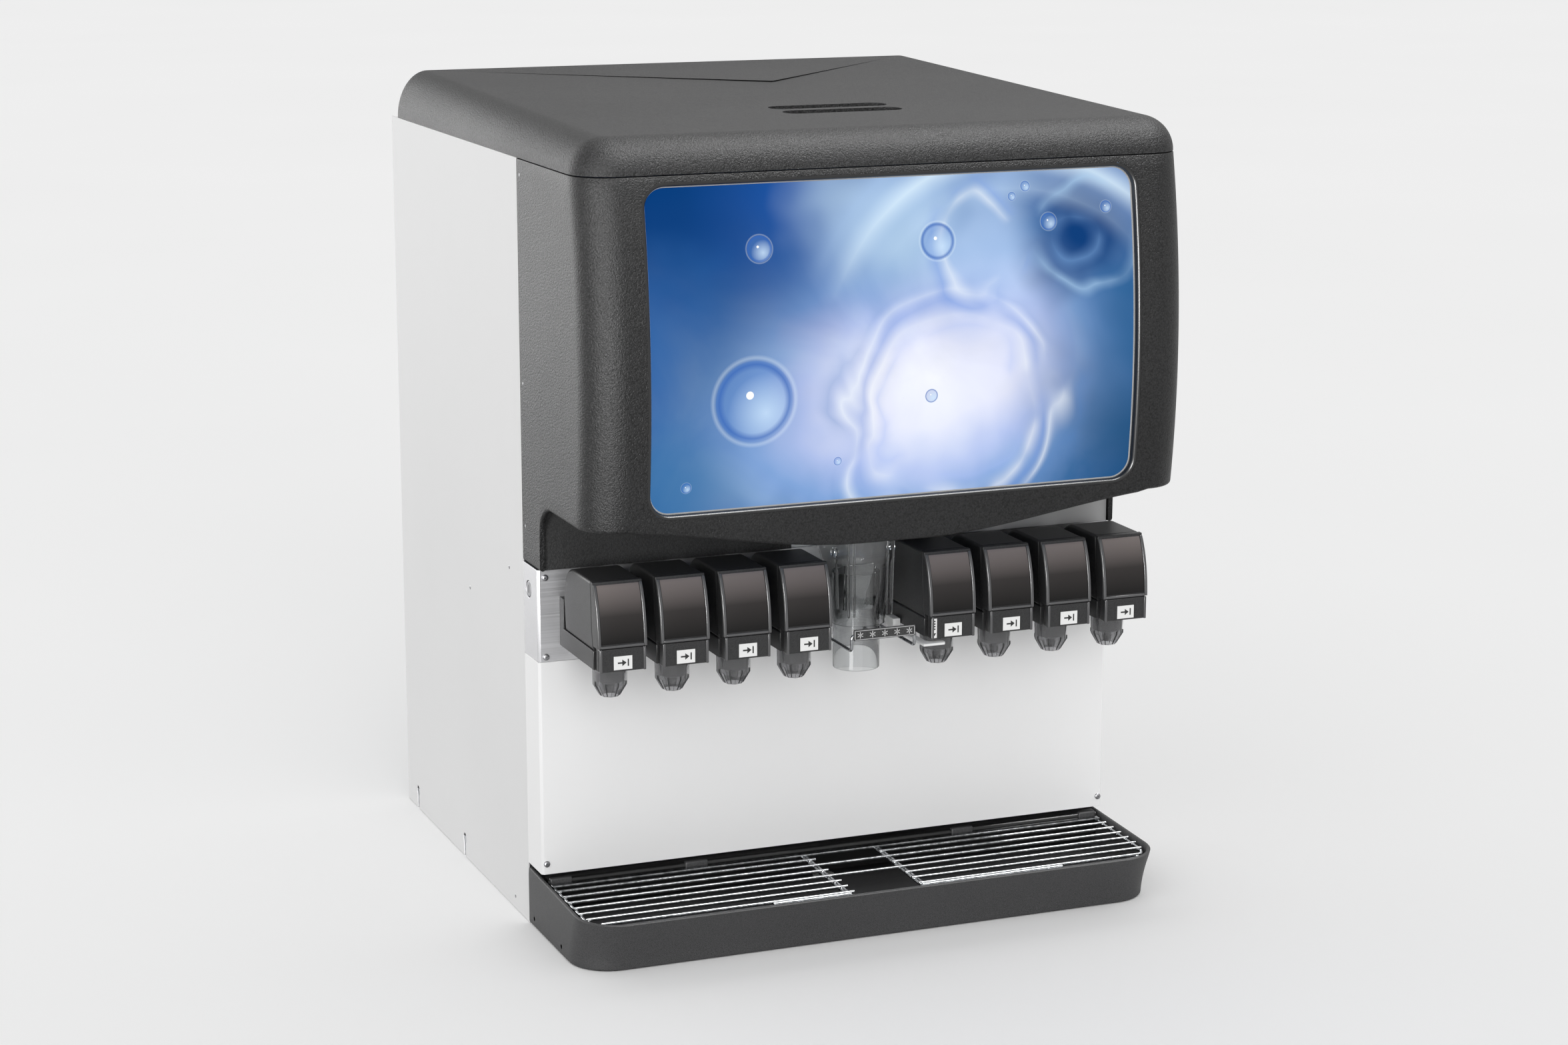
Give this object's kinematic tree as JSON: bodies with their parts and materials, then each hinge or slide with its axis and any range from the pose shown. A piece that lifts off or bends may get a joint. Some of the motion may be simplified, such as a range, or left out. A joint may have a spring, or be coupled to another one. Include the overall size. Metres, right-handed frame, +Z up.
{
  "type": "fountain soda dispenser",
  "caption": "Countertop ice and soda dispenser: cabinet with lit canopy panel, lift-off lid, push-key valves, ice chute with push lever, and drip tray with wire rack.",
  "frame": {"origin": "on the counter, under the middle of the overall box", "axes": "+X to the right seen from the front, the customer stands at -Y, +Z up"},
  "size_m": [0.762, 0.8195, 1.007],
  "materials": {
    "grey_paint": "fine satin powder coat",
    "splash_paint": "satin",
    "stainless": "brushed",
    "galvanised": "dull zinc",
    "charcoal_plastic": "pebble grain",
    "dark_plastic": "fine grain",
    "graphic_blue": "translucent, printed",
    "lamp_white": "frosted tube",
    "white_paint": "gloss white",
    "tray_plastic": "fine grain",
    "white_plastic": "smooth",
    "clear_plastic": "clear polycarbonate",
    "smoky_plastic": "smoky translucent",
    "valve_plastic": "fine grain",
    "aluminium": "as cast",
    "black_metal": "satin black"
  },
  "bodies": {
    "cabinet": {"left_side_panel": "grey_paint", "right_side_panel": "grey_paint", "rear_panel": "galvanised", "base_pan": "galvanised", "splash_panel": "splash_paint", "valve_mount_plate": "stainless", "front_bulkhead": "galvanised", "canopy_housing": "charcoal_plastic", "canopy_liner": "dark_plastic", "graphic_frame": "dark_plastic", "graphic_panel": "graphic_blue", "lamp_tube": "lamp_white", "lamp_reflector": "white_paint", "drip_tray": "tray_plastic", "drain_fitting": "white_plastic", "ice_chute": "clear_plastic", "ice_spout": "clear_plastic", "ice_hopper": "white_plastic", "cold_plate": "aluminium", "agitator_motor": "black_metal", "valve_body_1": "valve_plastic", "valve_cover_1": "valve_plastic", "nozzle_1": "smoky_plastic", "valve_body_2": "valve_plastic", "valve_cover_2": "valve_plastic", "nozzle_2": "smoky_plastic", "valve_body_3": "valve_plastic", "valve_cover_3": "valve_plastic", "nozzle_3": "smoky_plastic", "valve_body_4": "valve_plastic", "valve_cover_4": "valve_plastic", "nozzle_4": "smoky_plastic", "valve_body_5": "valve_plastic", "valve_cover_5": "valve_plastic", "nozzle_5": "smoky_plastic", "valve_body_6": "valve_plastic", "valve_cover_6": "valve_plastic", "nozzle_6": "smoky_plastic", "valve_body_7": "valve_plastic", "valve_cover_7": "valve_plastic", "nozzle_7": "smoky_plastic", "valve_body_8": "valve_plastic", "valve_cover_8": "valve_plastic", "nozzle_8": "smoky_plastic"},
    "lid": {"lid": "charcoal_plastic"},
    "cup_rest": {"cup_rest_grid": "stainless"},
    "ice_lever": {"ice_lever_wire": "stainless", "ice_lever_plate": "dark_plastic"},
    "gate": {"ice_gate": "stainless"},
    "water_tab": {"water_lever": "white_plastic"},
    "paddle": {"agitator": "stainless"},
    "switch": {"key_switch": "stainless"},
    "key_1": {"push_key_1": "valve_plastic"},
    "key_2": {"push_key_2": "valve_plastic"},
    "key_3": {"push_key_3": "valve_plastic"},
    "key_4": {"push_key_4": "valve_plastic"},
    "key_5": {"push_key_5": "valve_plastic"},
    "key_6": {"push_key_6": "valve_plastic"},
    "key_7": {"push_key_7": "valve_plastic"},
    "key_8": {"push_key_8": "valve_plastic"}
  },
  "joints": [
    {"name": "lid_lift", "type": "slide", "parent": "cabinet", "child": "lid", "axis": [0, 0, 1], "range_m": [0, 0.15]},
    {"name": "cup_rest_lift", "type": "slide", "parent": "cabinet", "child": "cup_rest", "axis": [0, 0, 1], "range_m": [0, 0.1]},
    {"name": "ice_lever_push", "type": "slide", "parent": "cabinet", "child": "ice_lever", "axis": [0, 1, 0], "range_m": [0, 0.012], "stiffness_N_per_m": 400},
    {"name": "ice_gate_swing", "type": "hinge", "parent": "cabinet", "child": "gate", "pos_m": [0.005, -0.20275, 0.677], "axis": [-1, 0, 0], "range_deg": [0, 35]},
    {"name": "water_lever_push", "type": "slide", "parent": "cabinet", "child": "water_tab", "axis": [0, 1, 0], "range_m": [0, 0.005], "stiffness_N_per_m": 300},
    {"name": "agitator_spin", "type": "hinge", "parent": "cabinet", "child": "paddle", "pos_m": [0.005, -0.03525, 0.608], "axis": [0, 0, 1], "continuous": true},
    {"name": "key_switch_turn", "type": "hinge", "parent": "cabinet", "child": "switch", "pos_m": [-0.3809, -0.16575, 0.429], "axis": [-1, 0, 0], "range_deg": [0, 90]},
    {"name": "push_key_1_press", "type": "slide", "parent": "cabinet", "child": "key_1", "axis": [0, 1, 0], "range_m": [0, 0.0035], "stiffness_N_per_m": 600},
    {"name": "push_key_2_press", "type": "slide", "parent": "cabinet", "child": "key_2", "axis": [0, 1, 0], "range_m": [0, 0.0035], "stiffness_N_per_m": 600},
    {"name": "push_key_3_press", "type": "slide", "parent": "cabinet", "child": "key_3", "axis": [0, 1, 0], "range_m": [0, 0.0035], "stiffness_N_per_m": 600},
    {"name": "push_key_4_press", "type": "slide", "parent": "cabinet", "child": "key_4", "axis": [0, 1, 0], "range_m": [0, 0.0035], "stiffness_N_per_m": 600},
    {"name": "push_key_5_press", "type": "slide", "parent": "cabinet", "child": "key_5", "axis": [0, 1, 0], "range_m": [0, 0.0035], "stiffness_N_per_m": 600},
    {"name": "push_key_6_press", "type": "slide", "parent": "cabinet", "child": "key_6", "axis": [0, 1, 0], "range_m": [0, 0.0035], "stiffness_N_per_m": 600},
    {"name": "push_key_7_press", "type": "slide", "parent": "cabinet", "child": "key_7", "axis": [0, 1, 0], "range_m": [0, 0.0035], "stiffness_N_per_m": 600},
    {"name": "push_key_8_press", "type": "slide", "parent": "cabinet", "child": "key_8", "axis": [0, 1, 0], "range_m": [0, 0.0035], "stiffness_N_per_m": 600}
  ],
  "couplings": [
    {"joint": "ice_gate_swing", "follows": "ice_lever_push", "rad_per_m": 50}
  ]
}
